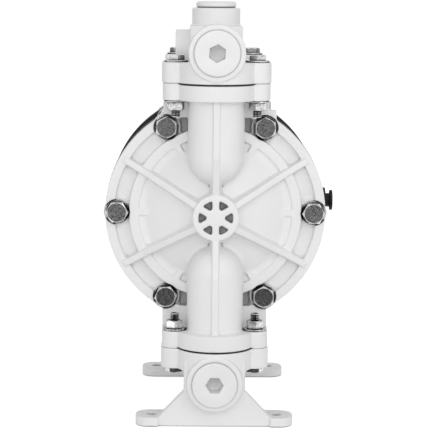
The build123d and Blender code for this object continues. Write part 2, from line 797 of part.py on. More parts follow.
def ball_cage(low):
    """Cage above a seat: base ring, four ribs and a cross that stops the ball."""
    inner = ball_radius + cage_gap
    outer = channel_bore - cage_fit
    height = cage_height()
    cage = disc(outer, 0, cage_base_height)
    for angle in (0, 90):
        side = (-cage_rib_width / 2, cage_rib_width / 2)
        bar = block((-outer, outer), side, (0, height))
        cage += Rot(0, 0, angle) * bar & disc(outer, 0, height)
    cage -= disc(inner, -1, height - cage_bar_height)
    return Pos(0, low, flange_line) * Rot(-90, 0, 0) * cage


def ball(low):
    """Check ball on its seat."""
    return Pos(0, low + ball_centre_height(), flange_line) * Sphere(ball_radius)


def diaphragm():
    """Moulded diaphragm: flat middle, one arch and a clamped edge."""
    low = joint_out - half_bead
    high = joint_out + half_bead
    edge = cavity_radius - 0.5
    middle = (diaphragm_flat_radius + edge) / 2
    outer = bead_radius - bead_clearance
    hole = stud_radius + thread_clearance
    top = Polyline((hole, high), (diaphragm_flat_radius, high))
    top += ThreePointArc((diaphragm_flat_radius, high), (middle, high + diaphragm_arch), (edge, high))
    top += Polyline((edge, high), (outer, high), (outer, low), (edge, low))
    top += ThreePointArc((edge, low), (middle, low + diaphragm_arch), (diaphragm_flat_radius, low))
    top += Polyline((diaphragm_flat_radius, low), (hole, low), (hole, high))
    return revolve(Plane.XZ * make_face(top), Axis.Z)


def inner_plate():
    """Plate on the air side of a diaphragm."""
    plate = disc(plate_radius, plate_out, plate_out + inner_plate_thickness)
    plate = fillet(plate.edges().group_by(Axis.Z)[0], plate_edge)
    return plate - disc(stud_radius + thread_clearance, plate_out - 1, joint_out)


def outer_plate():
    """Plate on the fluid side, with the stud that screws into the shaft."""
    low = joint_out + half_bead
    high = low + outer_plate_thickness
    plate = disc(plate_radius, low, high)
    plate = fillet(plate.edges().group_by(Axis.Z)[-1], plate_edge)
    plate += hexagon(2 * outer_boss_radius, high, high + outer_boss_height)
    return plate + disc(stud_radius - thread_clearance, plate_out - stud_length, low)


def shaft():
    """Shaft between the inner plates, with a threaded hole in each end."""
    bar = disc(shaft_radius, -plate_out, plate_out)
    hole_depth = stud_length + 1
    bar -= disc(stud_radius, plate_out - hole_depth, plate_out + 1)
    return bar - disc(stud_radius, -plate_out - 1, -plate_out + hole_depth)


def shaft_bush():
    """Plain bush for the shaft in the centre section."""
    low = centre_half_length - bush_length
    bush = disc(bush_radius, low, centre_half_length)
    return bush - disc(shaft_radius + shaft_clearance, low - 1, centre_half_length + 1)


def shaft_seal():
    """Ring seal in an air chamber's floor."""
    low = (centre_half_length + chamber_floor_out - seal_width) / 2
    ring = disc(seal_radius, low, low + seal_width)
    return ring - disc(shaft_radius + shaft_clearance, low - 1, low + seal_width + 1)


def pilot_rod():
    """Rod that the inner plates push from side to side."""
    half = chamber_floor_out + pilot_reach
    return disc(pilot_radius, -half, half, 0, pilot_offset)


def chamfered_hexagon(flats, low, high, turn=0):
    """Hexagonal head with its top corners turned off."""
    head = hexagon(flats, low, high, turn)
    corner = flats / sqrt(3)
    flat = flats / 2
    drop = (corner + 1 - flat) * head_chamfer
    outline = [(0, low), (corner + 1, low), (corner + 1, high - drop)]
    outline += [(flat, high), (0, high)]
    return head & turned(outline)


def cover_bolt(turn):
    """Cover bolt with its head seated on the local plane."""
    length = cover_boss_height + chamber_flange_thickness + 2 * cover_washer_thickness
    length += cover_nut_thickness + cover_bolt_stand
    head = chamfered_hexagon(cover_bolt_flats, 0, cover_bolt_head, turn)
    return head + disc(cover_bolt_radius, -length, 0)


def washer(radius, hole, thickness, low):
    """Flat washer."""
    return disc(radius, low, low + thickness) - disc(hole, low - 1, low + thickness + 1)


def nut(flats, hole, thickness, low, turn=0):
    """Hexagonal nut."""
    body = chamfered_hexagon(flats, low, low + thickness, turn)
    return body - disc(hole, low - 1, low + thickness + 1)


def flange_bolt_parts(seam_sign, head_turns, nut_turns):
    """Bolt, washers and nut at each bolt of a flange, along the local Y axis."""
    grip = manifold_ear_thickness + cover_ear_thickness
    gauge = flange_washer_thickness
    hole = flange_bolt_radius + thread_clearance
    head_low = gauge if seam_sign > 0 else 0
    length = head_low + grip + gauge + flange_nut_thickness + flange_bolt_stand
    head_level = seam_sign * (seam_rise + manifold_ear_thickness)
    turn = Rot(-90, 0, 0) if seam_sign > 0 else Rot(90, 0, 0)
    placed = []
    for x, head_turn, nut_turn in zip(flange_bolts_x, head_turns, nut_turns):
        bolt = chamfered_hexagon(flange_bolt_flats, head_low, head_low + flange_bolt_head, head_turn)
        bolt += disc(flange_bolt_radius, head_low - length, head_low)
        washers = [washer(flange_washer_radius, hole, gauge, -grip - gauge)]
        if seam_sign > 0:
            washers.append(washer(flange_washer_radius, hole, gauge, 0))
        lock = nut(flange_bolt_flats, hole, flange_nut_thickness, 0, nut_turn)
        lock = Pos(0, 0, -grip - gauge) * Rot(180, 0, 0) * lock
        place = Pos(x, head_level, flange_line) * turn
        placed.append([place * bolt, [place * w for w in washers], place * lock])
    return placed


def write(name, *solids):
    """Write one named node, as one solid or as a group of separate solids."""
    shape = solids[0] if len(solids) == 1 else Compound(children=list(solids))
    export_step(shape, "parts/" + name + ".step")


def write_covers():
    """Covers, air chambers and what is clamped between them."""
    chamber = air_chamber()
    membrane = diaphragm()
    for name, side, tab_side in (("front", front, 1), ("rear", rear, -1)):
        write(name + "_fluid_cover", side * fluid_cover(tab_side))
        write(name + "_air_chamber", side * chamber)
        write(name + "_diaphragm", side * membrane)
        write(name + "_inner_plate", side * inner_plate())
        write(name + "_outer_plate", side * outer_plate())
    write("centre_body", centre_body())
    write("diaphragm_shaft", front * shaft())
    write("pilot_rod", front * pilot_rod())
    write("shaft_bushes", *[side * shaft_bush() for side in (front, rear)])
    write("shaft_seals", *[side * shaft_seal() for side in (front, rear)])
    screws = []
    for side in (front, rear):
        for x, y in chamber_screw_places():
            screws.append(side * Pos(x, y, chamber_floor_out) * chamber_screw())
    write("chamber_screws", *screws)


def write_manifolds():
    """Manifolds, plugs, seats, cages, balls and gaskets."""
    write("discharge_manifold", discharge_manifold())
    write("suction_manifold", suction_manifold())
    write("top_port_plug", top_plug())
    seals = []
    for name, side in (("front", front), ("rear", rear)):
        write(name + "_discharge_plug", side * end_plug(barrel_rise, discharge_plug_turn))
        write(name + "_suction_plug", side * end_plug(-barrel_rise, suction_plug_turn))
        seals += [side * plug_seal(barrel_rise), side * plug_seal(-barrel_rise)]
        upper = seam_rise - seat_height
        lower = -seam_rise
        for service, low in (("discharge", upper), ("suction", lower)):
            write(name + "_" + service + "_seat", side * ball_seat(low))
            write(name + "_" + service + "_cage", side * ball_cage(low + seat_height))
            write(name + "_" + service + "_ball", side * ball(low + seat_height))
    write("plug_seals", *seals)
    write("discharge_gaskets", front * gasket(seam_rise), rear * gasket(seam_rise))
    write("suction_gaskets", front * gasket(-seam_rise), rear * gasket(-seam_rise))


def write_valve():
    """Air valve and silencer."""
    low = axis_height - valve_height / 2
    high = axis_height + valve_height / 2
    write("valve_body", valve_body())
    write("valve_gasket", valve_gasket())
    write("valve_sleeve", valve_sleeve())
    write("valve_spool", valve_spool())
    write("upper_valve_cap", valve_cap(high, high + valve_cap_thickness))
    write("lower_valve_cap", valve_cap(low - valve_cap_thickness, low))
    grip = valve_depth + valve_gasket_thickness + valve_screw_grip
    screw = socket_screw(valve_screw_radius, grip, valve_screw_head_radius,
                         valve_screw_head_height, valve_screw_socket)
    outer = -(valve_side + valve_depth)
    write("valve_screws", *[Pos(outer, y, z) * Rot(0, -90, 0) * screw
                            for y, z in valve_screw_places()])
    small = socket_screw(cap_screw_radius, cap_screw_grip + valve_cap_thickness,
                         cap_screw_head_radius, cap_screw_head_height, cap_screw_socket)
    cap_screws = []
    for x, y in cap_screw_places():
        cap_screws.append(Pos(x, y, high + valve_cap_thickness) * small)
        cap_screws.append(Pos(x, y, low - valve_cap_thickness) * Rot(180, 0, 0) * small)
    write("valve_cap_screws", *cap_screws)
    write("exhaust_silencer", silencer())


def write_fasteners():
    """Bolts, washers and nuts of the covers and flanges."""
    hole = cover_bolt_radius + thread_clearance
    back = joint_out - chamber_flange_thickness
    gauge = cover_washer_thickness
    for name, side in (("front", front), ("rear", rear)):
        bolts = []
        washers = []
        nuts = []
        for (x, y), turn in zip(bolt_places(), cover_bolt_turns):
            place = side * Pos(x, y, 0)
            bolts.append(place * Pos(0, 0, boss_out + gauge) * cover_bolt(turn))
            washers.append(place * washer(cover_washer_radius, hole, gauge, boss_out))
            washers.append(place * washer(cover_washer_radius, hole, gauge, back - gauge))
            lock = nut(cover_bolt_flats, hole, cover_nut_thickness, 0)
            nuts.append(place * Pos(0, 0, back - gauge) * Rot(180, 0, 0) * lock)
        write(name + "_cover_bolts", *bolts)
        write(name + "_cover_washers", *washers)
        write(name + "_cover_nuts", *nuts)
    for service, sign, nut_turns in (("discharge", 1, discharge_nut_turns),
                                     ("suction", -1, suction_nut_turns)):
        bolts = []
        washers = []
        nuts = []
        for side, head_turns in ((front, front_head_turns), (rear, rear_head_turns)):
            for bolt, pair, lock in flange_bolt_parts(sign, head_turns, nut_turns):
                bolts.append(side * bolt)
                washers += [side * one for one in pair]
                nuts.append(side * lock)
        write(service + "_bolts", *bolts)
        write(service + "_washers", *washers)
        write(service + "_nuts", *nuts)


write_covers()
write_manifolds()
write_valve()
write_fasteners()
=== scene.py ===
import json
from math import cos, pi, radians, sin, sqrt

import bmesh
import bpy
from mathutils import Matrix, Vector

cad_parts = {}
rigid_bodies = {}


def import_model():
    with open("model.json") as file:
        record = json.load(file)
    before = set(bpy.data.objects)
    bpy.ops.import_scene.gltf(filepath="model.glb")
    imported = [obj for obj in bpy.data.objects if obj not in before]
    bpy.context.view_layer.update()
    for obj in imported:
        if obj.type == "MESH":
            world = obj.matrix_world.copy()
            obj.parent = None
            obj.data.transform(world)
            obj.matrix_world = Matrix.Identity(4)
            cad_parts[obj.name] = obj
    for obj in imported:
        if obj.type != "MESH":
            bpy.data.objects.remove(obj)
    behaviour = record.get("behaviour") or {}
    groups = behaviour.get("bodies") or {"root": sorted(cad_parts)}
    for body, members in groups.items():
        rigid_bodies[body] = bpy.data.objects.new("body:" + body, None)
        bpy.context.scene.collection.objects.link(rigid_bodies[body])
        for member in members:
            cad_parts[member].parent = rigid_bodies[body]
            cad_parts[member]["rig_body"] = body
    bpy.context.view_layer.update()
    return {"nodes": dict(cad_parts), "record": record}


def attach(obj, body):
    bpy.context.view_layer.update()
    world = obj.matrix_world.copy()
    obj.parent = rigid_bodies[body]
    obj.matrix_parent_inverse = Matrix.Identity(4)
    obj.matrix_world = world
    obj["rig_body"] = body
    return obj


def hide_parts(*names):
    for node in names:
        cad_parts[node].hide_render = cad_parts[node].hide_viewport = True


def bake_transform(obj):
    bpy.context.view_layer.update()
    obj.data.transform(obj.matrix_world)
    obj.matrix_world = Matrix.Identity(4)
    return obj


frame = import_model()
nodes = frame["nodes"]

# Sizes of the pump that the new pieces need, in metres, and turns in degrees
AXIS_HEIGHT = 0.1338
FLANGE_LINE = 0.062
SEAM_RISE = 0.0849
BOLT_CIRCLE = 0.0637
HUB_OUT = 0.0744
HUB_POCKET_DEPTH = 0.006
BOSS_OUT = 0.0435
CHAMBER_BACK = 0.026
COVER_WASHER_THICKNESS = 0.0016
COVER_WASHER_RADIUS = 0.008
COVER_BOLT_RADIUS = 0.004
COVER_BOLT_FLATS = 0.013
COVER_BOLT_HEAD = 0.0053
COVER_BOLT_LENGTH = 0.030
COVER_BOLT_PLAIN = 0.012
COVER_BOLT_PITCH = 0.00125
COVER_NUT_HEIGHT = 0.0065
FLANGE_WASHER_RADIUS = 0.0078
FLANGE_WASHER_THICKNESS = 0.0012
FLANGE_BOLT_RADIUS = 0.003
FLANGE_BOLT_FLATS = 0.010
FLANGE_BOLT_HEAD = 0.0034
FLANGE_BOLT_SPACING = 0.0518
FLANGE_BOLT_STAND = 0.0044
FLANGE_BOLT_PLAIN = 0.020
FLANGE_BOLT_PITCH = 0.001
FLANGE_NUT_HEIGHT = 0.0052
COVER_EAR = 0.0109
MANIFOLD_EAR = 0.0132
FOOT_SPACING_X = 0.080
FOOT_SPACING_Y = 0.140
FOOT_HOLE = 0.0034
HOLE_PLAY = 0.00005
SHALLOW_OVERLAP = 0.0005
DEEP_OVERLAP = 0.001
COVER_BOLT_ANGLES = (0, 60, 120, 180, 240, 300)
COVER_BOLT_TURNS = (0, 30, 28, 0, 7, 30)
HEAD_TURNS = {"discharge": (-17, 22), "suction": (0, 0)}
NUT_TURNS = {"discharge": (-18, -18), "suction": (30, 36)}

# Hub pockets, and the region where a valve channel's round end meets the dome
POCKET_REGION_RADIUS = 0.0118
POCKET_REGION_DEPTH = 0.0096
CHANNEL_X = (0.0036, 0.022)
CHANNEL_UP = (0.010, 0.035)
CHANNEL_OUT = (0.030, 0.072)
RIB_CLEARANCE = 0.0042
HUB_CLEARANCE = 0.0163
CHANNEL_ROUNDS = 120

# Barrels of the manifolds, and the stretch where a valve's passage meets the barrel's wall
BARREL_RISE = 0.1047
BARREL_RADIUS = 0.0153
BARREL_WALL = 0.0015
WALL_MIDDLE = 0.0585
WALL_HALF = 0.004
WALL_OVERHANG = 0.001

# Meshes of the white mouldings
COVER_VOXEL = 0.0005
COVER_TRIANGLES = 190000
MANIFOLD_VOXEL = 0.0006
MANIFOLD_TRIANGLES = 180000
SOFTEN_ROUNDS = 4

# Diaphragms: the number of sectors that each is cut into
DIAPHRAGM_SECTORS = 6

# Rounded edges of the black sections and of the plugs
CHAMBER_EDGE = 0.0004
CENTRE_EDGE = 0.0006
VALVE_EDGE = 0.0005
SILENCER_EDGE = 0.00035
PLUG_EDGE = 0.0003

# Shares of a bolt head's and a nut's size, and steps round their turned shapes
HEAD_RIM = 0.965
HEAD_DISH_RIM = 0.965
HEAD_DISH_DEPTH = 0.04
HEAD_CHAMFER = 0.62
HEAD_EDGE = 0.008
NUT_RIM = 0.95
NUT_CHAMFER = 0.6
NUT_SINK = 0.0005
NUT_EDGE = 0.01
CORNER_REACH = 1.05
WASHER_ROUND = 0.00035
WASHER_EDGE = 0.00012
THREAD_DEPTH = 0.6
THREAD_CREST = (0.42, 0.58)
HEAD_STEPS = 48
BORE_STEPS = 32
SHANK_STEPS = 24
THREAD_STEPS = 20
WALL_STEPS = 96

# Light
REFRACTION = 1.49
FLOOR_COLOUR = 0.85
FLOOR_GLOW = 0.62
FLOOR_SIZE = 6.0
FLOOR_DROP = 0.0002
WORLD_LIGHT = 0.64
CARD_COLOUR = 0.02
CARD_NEAR = (0.0, -0.10, 0.002)
CARD_FAR = (0.0, -0.80, 0.36)
CARD_WIDTH = 0.22
SIDE_CARD_REACH = 0.7
SIDE_CARD_MIDDLE = 0.25
SIDE_CARD_HEIGHT = 0.3
SIDE_CARD_TALL = 0.6
SIDE_CARD_WIDTH = 0.5
LAMP_AIM = (0, 0, 0.13)

# Camera fitted to the photograph
CAMERA_PLACE = (-0.0128, -1.133, 0.2806)
CAMERA_YAW = 0.01162
CAMERA_PITCH = 0.13571
CAMERA_ROLL = 0.00879
CAMERA_LENS = 141.52
CAMERA_SENSOR = 36.0

# Front and rear working frames: local X right, Y up from the diaphragm axis, Z out of the pump
FRONT = Matrix(((1, 0, 0, 0), (0, 0, -1, 0), (0, 1, 0, AXIS_HEIGHT), (0, 0, 0, 1)))
REAR = Matrix(((-1, 0, 0, 0), (0, 0, 1, 0), (0, 1, 0, AXIS_HEIGHT), (0, 0, 0, 1)))


# Materials

def new_group(name, inputs, outputs):
    """Empty shader node group with its sockets and its two end nodes."""
    group = bpy.data.node_groups.new(name, "ShaderNodeTree")
    for label, kind, value in inputs:
        socket = group.interface.new_socket(label, in_out="INPUT", socket_type=kind)
        if value is not None:
            socket.default_value = value
    for label, kind in outputs:
        group.interface.new_socket(label, in_out="OUTPUT", socket_type=kind)
    return group, group.nodes.new("NodeGroupInput"), group.nodes.new("NodeGroupOutput")


def feed(group, socket, source):
    """Give a socket a plain value or a link."""
    if isinstance(source, (int, float, tuple)):
        socket.default_value = source
    else:
        group.links.new(source, socket)


def noise(group, vector, size, detail):
    """Noise texture on the given coordinates."""
    texture = group.nodes.new("ShaderNodeTexNoise")
    texture.inputs["Detail"].default_value = detail
    group.links.new(vector, texture.inputs["Vector"])
    feed(group, texture.inputs["Scale"], size)
    return texture.outputs["Fac"]


def spread(group, value, low, high, to_low=0.0, to_high=1.0):
    """Map a value from one span to another."""
    node = group.nodes.new("ShaderNodeMapRange")
    group.links.new(value, node.inputs["Value"])
    spans = {"From Min": low, "From Max": high, "To Min": to_low, "To Max": to_high}
    for label, end in spans.items():
        feed(group, node.inputs[label], end)
    return node.outputs["Result"]


def mixed(group, mask, first, second):
    """Mix two colours by a mask."""
    node = group.nodes.new("ShaderNodeMix")
    node.data_type = "RGBA"
    for label, source in (("Factor_Float", mask), ("A_Color", first), ("B_Color", second)):
        feed(group, [s for s in node.inputs if s.identifier == label][0], source)
    return [s for s in node.outputs if s.identifier == "Result_Color"][0]


def arithmetic(group, kind, first, second):
    """One arithmetic node."""
    node = group.nodes.new("ShaderNodeMath")
    node.operation = kind
    feed(group, node.inputs[0], first)
    feed(group, node.inputs[1], second)
    return node.outputs[0]


def relief(group, coarse, fine, share):
    """Height made of a coarse and a fine pattern."""
    return arithmetic(group, "ADD", arithmetic(group, "MULTIPLY", coarse, share),
                      arithmetic(group, "MULTIPLY", fine, 1 - share))


def number(label, value):
    """Socket of a group that takes one number."""
    return (label, "NodeSocketFloat", value)


VECTOR_SOCKET = ("Vector", "NodeSocketVector", None)
SKIN_OUTPUTS = [("Colour", "NodeSocketColor"), ("Roughness", "NodeSocketFloat"),
                ("Height", "NodeSocketFloat")]


def moulded_skin_group():
    """Moulded plastic: faint flow mottling, fine grain and small changes of gloss."""
    group, start, end = new_group(
        "moulded_skin",
        [VECTOR_SOCKET, ("Colour", "NodeSocketColor", None),
         ("Mottle colour", "NodeSocketColor", None), number("Mottle size", 40.0),
         number("Grain size", 900.0), number("Gloss low", 0.35), number("Gloss high", 0.5)],
        SKIN_OUTPUTS)
    given = start.outputs
    flow = noise(group, given["Vector"], given["Mottle size"], 3.0)
    grain = noise(group, given["Vector"], given["Grain size"], 2.0)
    mottle = spread(group, flow, 0.35, 0.7)
    colour = mixed(group, mottle, given["Colour"], given["Mottle colour"])
    gloss = spread(group, grain, 0.3, 0.7, given["Gloss low"], given["Gloss high"])
    group.links.new(colour, end.inputs["Colour"])
    group.links.new(gloss, end.inputs["Roughness"])
    group.links.new(relief(group, flow, grain, 0.6), end.inputs["Height"])
    return group


def plated_metal_group():
    """Plated or machined metal: soft clouding and fine specks."""
    group, start, end = new_group(
        "plated_metal",
        [VECTOR_SOCKET, ("Colour", "NodeSocketColor", None),
         ("Cloud colour", "NodeSocketColor", None), number("Cloud size", 220.0),
         number("Gloss low", 0.2), number("Gloss high", 0.4)],
        SKIN_OUTPUTS)
    given = start.outputs
    cloud = noise(group, given["Vector"], given["Cloud size"], 4.0)
    speck = noise(group, given["Vector"], 1500.0, 2.0)
    clouding = spread(group, cloud, 0.35, 0.68)
    colour = mixed(group, clouding, given["Colour"], given["Cloud colour"])
    gloss = spread(group, cloud, 0.3, 0.7, given["Gloss low"], given["Gloss high"])
    group.links.new(colour, end.inputs["Colour"])
    group.links.new(gloss, end.inputs["Roughness"])
    group.links.new(relief(group, cloud, speck, 0.5), end.inputs["Height"])
    return group


def edge_wear_group():
    """Mask of the edges that stand out, broken up by noise."""
    group, start, end = new_group(
        "edge_wear",
        [VECTOR_SOCKET, number("Sharpness low", 0.53), number("Sharpness high", 0.6),
         number("Break up", 400.0)],
        [("Mask", "NodeSocketFloat")])
    given = start.outputs
    geometry = group.nodes.new("ShaderNodeNewGeometry")
    sharp = spread(group, geometry.outputs["Pointiness"], given["Sharpness low"],
                   given["Sharpness high"])
    patches = noise(group, given["Vector"], given["Break up"], 3.0)
    worn = spread(group, patches, 0.35, 0.6, 0.2, 1.0)
    group.links.new(arithmetic(group, "MULTIPLY", sharp, worn), end.inputs["Mask"])
    return group


def painted_recess_shade_group():
    """Mask of deep recesses and tight inner corners, found by ambient occlusion, where shade is
    painted into the colour.
    """
    group, start, end = new_group(
        "painted_recess_shade",
        [number("Recess reach", 0.009), number("Recess open", 0.40), number("Recess closed", 0.2),
         number("Corner reach", 0.0024), number("Corner open", 0.72),
         number("Corner closed", 0.48), number("Corner strength", 0.6)],
        [("Mask", "NodeSocketFloat")])
    given = start.outputs
    masks = []
    for kind in ("Recess", "Corner"):
        hollow = group.nodes.new("ShaderNodeAmbientOcclusion")
        hollow.samples = 12
        group.links.new(given[kind + " reach"], hollow.inputs["Distance"])
        masks.append(spread(group, hollow.outputs["AO"], given[kind + " open"],
                            given[kind + " closed"]))
    corner = arithmetic(group, "MULTIPLY", masks[1], given["Corner strength"])
    group.links.new(arithmetic(group, "MAXIMUM", masks[0], corner), end.inputs["Mask"])
    return group


moulded_skin = moulded_skin_group()
painted_recess_shade = painted_recess_shade_group()
edge_wear = edge_wear_group()
plated_metal = plated_metal_group()


def material(name, group, values, metallic=0.0, bump=0.0001, strength=0.3, wear=None,
             recess_shade=None, specular=0.5):
    """Finish fed by one of the groups, with worn edges, and painted shade in recesses and inner
    corners where given.
    """
    made = bpy.data.materials.new(name)
    made.use_nodes = True
    tree = made.node_tree
    shader = tree.nodes["Principled BSDF"]
    shader.inputs["Metallic"].default_value = metallic
    shader.inputs["IOR"].default_value = REFRACTION
    shader.inputs["Specular IOR Level"].default_value = specular
    place = tree.nodes.new("ShaderNodeTexCoord")
    skin = tree.nodes.new("ShaderNodeGroup")
    skin.node_tree = group
    tree.links.new(place.outputs["Object"], skin.inputs["Vector"])
    for label, value in values.items():
        skin.inputs[label].default_value = value
    colour = skin.outputs["Colour"]
    if wear:
        worn_colour, low, high = wear
        edges = tree.nodes.new("ShaderNodeGroup")
        edges.node_tree = edge_wear
        tree.links.new(place.outputs["Object"], edges.inputs["Vector"])
        edges.inputs["Sharpness low"].default_value = low
        edges.inputs["Sharpness high"].default_value = high
        colour = mixed(tree, edges.outputs["Mask"], colour, worn_colour)
    # painted shade: recesses and inner corners are darkened towards the given colour by the
    # occlusion mask
    if recess_shade:
        depth = tree.nodes.new("ShaderNodeGroup")
        depth.node_tree = painted_recess_shade
        # on metal the painted shade reaches the tighter corners fully, as a painted contact shadow
        # round nuts and washers
        if metallic:
            depth.inputs["Corner strength"].default_value = 1.0
            depth.inputs["Corner reach"].default_value = 0.003
            depth.inputs["Corner open"].default_value = 0.8
        colour = mixed(tree, depth.outputs["Mask"], colour, recess_shade)
    tree.links.new(colour, shader.inputs["Base Color"])
    tree.links.new(skin.outputs["Roughness"], shader.inputs["Roughness"])
    texture = tree.nodes.new("ShaderNodeBump")
    texture.inputs["Strength"].default_value = strength
    texture.inputs["Distance"].default_value = bump
    tree.links.new(skin.outputs["Height"], texture.inputs["Height"])
    tree.links.new(texture.outputs["Normal"], shader.inputs["Normal"])
    return made


def grey(value, warm=0.0):
    """Neutral colour, or one slightly warm."""
    return (value + warm, value, value - warm, 1.0)


# The recess colours below are painted shade for recesses and inner corners; plated steel's
# near-black one paints contact shadows round nuts and washers.
finishes = {
    "white_plastic": material(
        "white_plastic", moulded_skin,
        {"Colour": grey(0.85), "Mottle colour": grey(0.83), "Mottle size": 35.0,
         "Grain size": 1100.0, "Gloss low": 0.42, "Gloss high": 0.56},
        bump=0.00006, strength=0.35, wear=(grey(0.88), 0.53, 0.62), recess_shade=grey(0.24)),
    "plug_plastic": material(
        "plug_plastic", moulded_skin,
        {"Colour": grey(0.84), "Mottle colour": grey(0.82), "Mottle size": 60.0,
         "Grain size": 1300.0, "Gloss low": 0.36, "Gloss high": 0.5},
        bump=0.00005, strength=0.3, wear=(grey(0.88), 0.53, 0.62), recess_shade=grey(0.26)),
    "black_rubber": material(
        "black_rubber", moulded_skin,
        {"Colour": grey(0.012), "Mottle colour": grey(0.02), "Mottle size": 90.0,
         "Grain size": 1500.0, "Gloss low": 0.6, "Gloss high": 0.75},
        bump=0.00008, strength=0.4),
    "seat_plastic": material(
        "seat_plastic", moulded_skin,
        {"Colour": grey(0.74, 0.005), "Mottle colour": grey(0.70, 0.006), "Mottle size": 80.0,
         "Grain size": 1200.0, "Gloss low": 0.4, "Gloss high": 0.55}),
    "ball_plastic": material(
        "ball_plastic", moulded_skin,
        {"Colour": grey(0.84, 0.008), "Mottle colour": grey(0.8, 0.01), "Mottle size": 120.0,
         "Grain size": 1800.0, "Gloss low": 0.18, "Gloss high": 0.28}, bump=0.00002, strength=0.2),
    "black_plastic": material(
        "black_plastic", moulded_skin,
        {"Colour": grey(0.010), "Mottle colour": grey(0.016), "Mottle size": 70.0,
         "Grain size": 1400.0, "Gloss low": 0.42, "Gloss high": 0.55},
        bump=0.00006, strength=0.35, wear=(grey(0.3), 0.55, 0.62), specular=0.2),
    "bearing_bronze": material(
        "bearing_bronze", plated_metal,
        {"Colour": (0.62, 0.40, 0.17, 1.0), "Cloud colour": (0.5, 0.31, 0.13, 1.0),
         "Cloud size": 300.0, "Gloss low": 0.28, "Gloss high": 0.42}, metallic=1.0, bump=0.00003),
    "plain_steel": material(
        "plain_steel", plated_metal,
        {"Colour": grey(0.56), "Cloud colour": grey(0.48), "Cloud size": 260.0,
         "Gloss low": 0.18, "Gloss high": 0.32}, metallic=1.0, bump=0.00002),
    "plate_aluminium": material(
        "plate_aluminium", plated_metal,
        {"Colour": grey(0.72), "Cloud colour": grey(0.66), "Cloud size": 180.0,
         "Gloss low": 0.26, "Gloss high": 0.4}, metallic=1.0, bump=0.00003),
    "plate_plastic": material(
        "plate_plastic", moulded_skin,
        {"Colour": grey(0.74), "Mottle colour": grey(0.7), "Mottle size": 60.0,
         "Grain size": 1200.0, "Gloss low": 0.4, "Gloss high": 0.55}),
    "plated_steel": material(
        "plated_steel", plated_metal,
        {"Colour": grey(0.74), "Cloud colour": grey(0.34), "Cloud size": 620.0,
         "Gloss low": 0.09, "Gloss high": 0.30}, metallic=1.0, bump=0.000012, strength=0.4,
        wear=(grey(0.85), 0.53, 0.6), recess_shade=grey(0.03)),
}


def dress(piece, name):
    """Give a piece one finish."""
    piece.data.materials.clear()
    piece.data.materials.append(finishes[name])


# Helpers for pieces

def only(piece):
    """Select one object and nothing else."""
    if bpy.context.object and bpy.context.object.mode != "OBJECT":
        bpy.ops.object.mode_set(mode="OBJECT")
    bpy.ops.object.select_all(action="DESELECT")
    piece.select_set(True)
    bpy.context.view_layer.objects.active = piece


def apply_all(piece):
    """Apply every modifier of a piece."""
    only(piece)
    for modifier in list(piece.modifiers):
        bpy.ops.object.modifier_apply(modifier=modifier.name)


def edit_all(piece):
    """Open a piece in edit mode with everything selected."""
    only(piece)
    bpy.ops.object.mode_set(mode="EDIT")
    bpy.ops.mesh.select_all(action="SELECT")


def finish_edit():
    """Leave edit mode."""
    bpy.ops.object.mode_set(mode="OBJECT")


def copied(node, name):
    """New object with a merged copy of one CAD node's mesh."""
    piece = bpy.data.objects.new(name, nodes[node].data.copy())
    bpy.context.scene.collection.objects.link(piece)
    only(piece)
    if piece.data.has_custom_normals:
        bpy.ops.mesh.customdata_custom_splitnormals_clear()
    edit_all(piece)
    bpy.ops.mesh.remove_doubles(threshold=0.000002)
    finish_edit()
    return piece


def stands_for(piece, node, finish):
    """Give a piece its finish and its body, and hide the CAD node that it replaces."""
    dress(piece, finish)
    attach(piece, nodes[node]["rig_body"])
    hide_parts(node)


def smooth(piece, angle):
    """Smooth shading up to an angle."""
    only(piece)
    bpy.ops.object.shade_smooth_by_angle(angle=radians(angle))


def raise_hub_pockets(piece):
    """Bring the floors of the hub's pockets up to the depth seen in the photograph."""
    floor = HUB_OUT - HUB_POCKET_DEPTH
    for vertex in piece.data.vertices:
        place = vertex.co
        radius = sqrt(place.x ** 2 + (place.z - AXIS_HEIGHT) ** 2)
        if radius < POCKET_REGION_RADIUS and HUB_OUT - POCKET_REGION_DEPTH < abs(place.y) < floor:
            place.y = floor * (1 if place.y > 0 else -1)


def soften_channel_ends(piece):
    """Blend the round ends of a cover's valve channels into its dome."""
    group = piece.vertex_groups.new(name="channel_ends")
    chosen = []
    for vertex in piece.data.vertices:
        x, up, out = abs(vertex.co.x), abs(vertex.co.z - AXIS_HEIGHT), abs(vertex.co.y)
        if not (CHANNEL_X[0] < x < CHANNEL_X[1] and CHANNEL_UP[0] < up < CHANNEL_UP[1]
                and CHANNEL_OUT[0] < out < CHANNEL_OUT[1]):
            continue
        beside_rib = abs(x * sin(pi / 6) - up * cos(pi / 6)) > RIB_CLEARANCE
        if beside_rib and x * x + up * up > HUB_CLEARANCE ** 2:
            chosen.append(vertex.index)
    group.add(chosen, 1.0, "REPLACE")
    blend = piece.modifiers.new("blend", "SMOOTH")
    blend.factor = 0.5
    blend.iterations = CHANNEL_ROUNDS
    blend.vertex_group = group.name
    apply_all(piece)
    piece.vertex_groups.clear()


def barrel_walls(side):
    """Half rings that keep a barrel's wall whole beyond the valves' passages.

    The side is 1 for the upper manifold and -1 for the lower one.
    """
    inner = BARREL_RADIUS - BARREL_WALL
    outline = [(inner, -WALL_HALF), (BARREL_RADIUS, -WALL_HALF), (BARREL_RADIUS, WALL_HALF),
               (inner, WALL_HALF), (inner, -WALL_HALF)]
    height = AXIS_HEIGHT + side * BARREL_RISE
    walls = []
    for out in (-WALL_MIDDLE, WALL_MIDDLE):
        wall = turned_blank(outline, WALL_STEPS)
        wall.data.transform(Matrix.Translation((0, out, height)) @ turn_about("X", 90))
        edit_all(wall)
        bpy.ops.mesh.bisect(plane_co=(0, out, height + side * WALL_OVERHANG),
                            plane_no=(0, 0, -side), clear_outer=True, use_fill=True)
        finish_edit()
        closed_and_outward(wall)
        walls.append(wall)
    return walls


